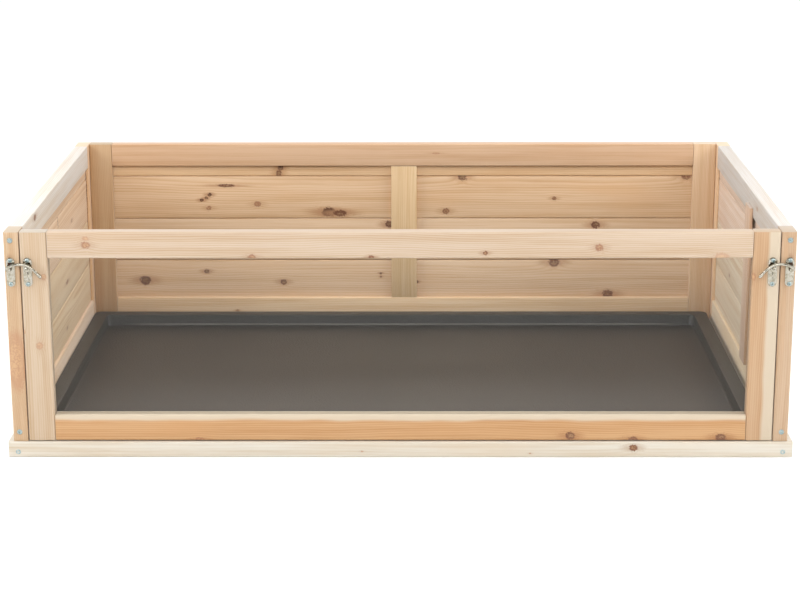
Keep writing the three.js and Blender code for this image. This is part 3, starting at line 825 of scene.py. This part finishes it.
def bent_hook(node, pivot, side):
    """The hook: a round bar, a hood cut away for the catch plate's lip, an eye, a finger pad."""
    line = bpy.data.curves.new("bar", "CURVE")
    line.dimensions = "3D"
    line.bevel_depth = 1.0 * MM  # times each point's radius
    line.bevel_resolution = 6
    line.use_fill_caps = True
    line.resolution_u = 8
    spline = line.splines.new("NURBS")
    spline.points.add(len(bar_line) - 1)
    for point, (out, up, radius) in zip(spline.points, bar_line):
        point.co = (pivot.x + side * out * MM, pivot.y, pivot.z + up * MM, 1)
        point.radius = radius
    spline.use_endpoint_u = True
    spline.order_u = 3
    bar_object = bpy.data.objects.new("bar", line)
    bpy.context.collection.objects.link(bar_object)
    graph = bpy.context.evaluated_depsgraph_get()
    bar_mesh = bpy.data.meshes.new_from_object(bar_object.evaluated_get(graph))
    bpy.data.objects.remove(bar_object)
    bar = bpy.data.objects.new(f"{node}_bent", bar_mesh)
    bpy.context.collection.objects.link(bar)

    half_deep = 3.15 * MM
    hood_mesh = bmesh.new()
    corners = []
    for out, up in hood_outline:
        corner = (pivot.x + side * out * MM, pivot.y - half_deep, pivot.z + up * MM)
        corners.append(hood_mesh.verts.new(corner))
    cheek = hood_mesh.faces.new(corners)
    grown = bmesh.ops.extrude_face_region(hood_mesh, geom=[cheek])["geom"]
    grown_verts = [g for g in grown if isinstance(g, bmesh.types.BMVert)]
    bmesh.ops.translate(hood_mesh, vec=(0, 2 * half_deep, 0), verts=grown_verts)
    bmesh.ops.recalc_face_normals(hood_mesh, faces=hood_mesh.faces)
    round_edges(hood_mesh, list(hood_mesh.edges), radius_mm=1.1, segments=4)
    hood = finish_mesh("hood", hood_mesh, 35)
    carve_like(hood, node)

    eye_profile = [(-1.15, 0), (-1.15, 4.0), (-0.8, 4.35), (0.8, 4.35), (1.15, 4.0), (1.15, 0)]
    eye = turned("eye", eye_profile, pivot)
    carve_like(eye, node)
    return join_into(bar, hood, eye)


# Profiles of the pivot and of the screws, from the head to the far end.
pivot_profile = [
    (-2.85, 0),
    (-2.75, 1.1),
    (-2.4, 2.1),
    (-1.9, 2.65),
    (-1.5, 2.65),
    (-1.5, 1.6),
    (1.5, 1.6),
    (1.5, 3.2),
    (1.7, 3.4),
    (5.7, 3.4),
    (5.9, 3.2),
    (5.9, 1.6),
    (7.3, 1.6),
    (7.3, 0),
]
pan_head_high = 2.2
pan_head = [
    (-pan_head_high, 0),
    (-2.15, 1.1),
    (-1.9, 2.1),
    (-1.4, 2.85),
    (-0.7, 3.2),
    (0, 3.2),
    (0, 1.45),
    (13, 1.45),
    (14.5, 0),
]
flat_head = [(0, 0), (0, 3.7), (0.25, 3.95), (0.5, 3.9), (2.3, 1.95)]
post_screw = flat_head + [(66, 1.95), (69.5, 0)]
strip_screw_profile = flat_head + [(30, 0)]
screw_zinc, shader, (px, py, pz) = new_material("screw_zinc", Metallic=1.0)
tarnish = px.noise(px * 0.5, py * 0.5, pz * 0.5, 3.0)
feed(
    shader,
    Base_Color=tarnish.ease(0.3, 0.7).mix(paint("#b9c4c3"), paint("#8fa3a5")),
    Roughness=0.22 + tarnish * 0.18,
)


def crossed_screw(name, profile, centre, recess_mm, turn):
    """A turned screw with a cross recess in its head, each arm narrower towards the bottom."""
    head_y = profile[0][0]
    recess_deep, arm_half, clear_of_head = 2.2, 0.8, -4
    screw = turned(name, profile, centre)
    for quarter in (0, math.pi / 2):
        arm = block(
            Vector((-recess_mm, clear_of_head, -arm_half)) * MM,
            Vector((recess_mm, head_y + recess_deep, arm_half)) * MM,
        )
        bottom = [v for v in arm.verts if v.co.y > head_y * MM]
        bmesh.ops.scale(arm, vec=(0.45, 1, 0.7), verts=bottom)
        bmesh.ops.rotate(arm, matrix=Matrix.Rotation(turn + quarter, 3, "Y"), verts=arm.verts)
        bmesh.ops.translate(arm, vec=centre, verts=arm.verts)
        cut_with(screw, finish_mesh("arm", arm), "DIFFERENCE")
    screw.data.materials.clear()
    screw.data.materials.append(screw_zinc)
    return screw


pivot_forward, pivot_level = 7.7 * MM, 292.5 * MM
strip_screw_out, strip_screw_up, strip_screw_proud = 573.5 * MM, 8.4 * MM, 0.15 * MM
for side_name, side in (("left", -1), ("right", 1)):
    hook_node, hook_plate = f"{side_name}_hook", f"{side_name}_hook_plate"
    catch_node, pivot_node = f"{side_name}_catch_plate", f"{side_name}_hook_pivot"
    plate_low, plate_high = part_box(hook_plate)
    plate_middle = (plate_low.x + plate_high.x) / 2
    pivot = Vector((plate_middle, plate_high.y - pivot_forward, pivot_level))
    stand_in(latch_plate(hook_plate), hook_plate, "front_panel", zinc)
    catch = join_into(latch_plate(catch_node), lip_of(catch_node))
    stand_in(catch, catch_node, "root", zinc)
    stand_in(bent_hook(hook_node, pivot, side), hook_node, f"{side_name}_latch", zinc)
    rivet = turned(f"{pivot_node}_turned", pivot_profile, pivot)
    stand_in(rivet, pivot_node, "front_panel", zinc)
    for level, turn in (("upper", 0.3), ("lower", 0.9)):
        for kind, body in (("catch", "root"), ("hook", "front_panel")):
            node = f"{side_name}_{kind}_screw_{level}"
            low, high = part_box(node)
            under_head = Vector(((low.x + high.x) / 2, low.y + pan_head_high * MM, (low.z + high.z) / 2))
            name = f"{node}_turned"
            screw = crossed_screw(name, pan_head, under_head, recess_mm=1.9, turn=turn * side)
            stand_in(screw, node, body, screw_zinc)
        node = f"{side_name}_post_screw_{level}"
        low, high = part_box(node)
        head = Vector(((low.x + high.x) / 2, low.y, (low.z + high.z) / 2))
        name = f"{node}_turned"
        screw = crossed_screw(name, post_screw, head, recess_mm=2.5, turn=turn + 0.4)
        stand_in(screw, node, "root", screw_zinc)

    # The front strip's screw has no node of its own.
    strip_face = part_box("base_front_strip")[0].y
    head = Vector((side * strip_screw_out, strip_face - strip_screw_proud, strip_screw_up))
    name = f"{side_name}_strip_screw"
    strip_screw = crossed_screw(name, strip_screw_profile, head, recess_mm=2.2, turn=0.5 * side)
    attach(strip_screw, "root")
